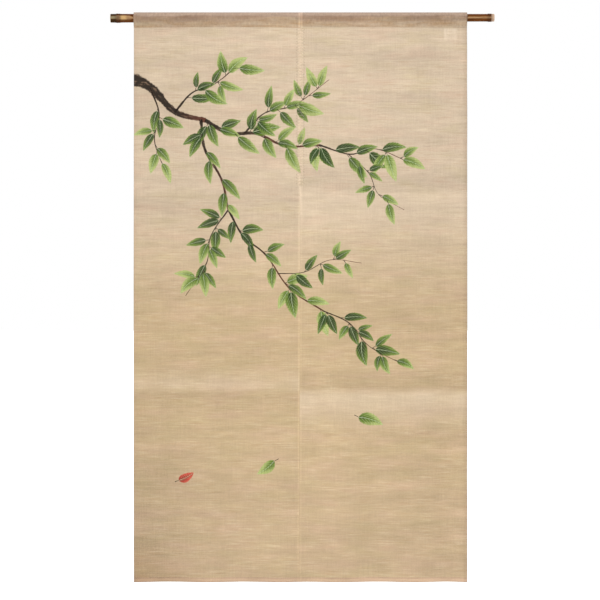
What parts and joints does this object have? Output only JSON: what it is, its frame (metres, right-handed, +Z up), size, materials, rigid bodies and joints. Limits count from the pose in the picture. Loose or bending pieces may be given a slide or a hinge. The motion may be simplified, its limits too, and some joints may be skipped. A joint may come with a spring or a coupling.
{
  "type": "noren curtain and bamboo rod",
  "caption": "Split noren doorway curtain: hemp panels with a rod pocket, stitched together near the top, hung on a bamboo rod.",
  "frame": {"origin": "on the bamboo rod's axis, at the middle of the cloth's width, where the rod is held up", "axes": "+X along the rod to the viewer's right when looking at the front, +Y out of the cloth's back (the front faces -Y), +Z up"},
  "size_m": [1.01, 0.0274, 1.5001],
  "materials": {
    "hemp": "coarse undyed hemp with slubs, matte",
    "bamboo": "smoked bamboo, satin",
    "tag": "plain woven tape, blank"
  },
  "bodies": {
    "root": {"panel_left": "hemp", "panel_right": "hemp", "rod": "bamboo", "back_tag": "tag"}
  },
  "joints": []
}
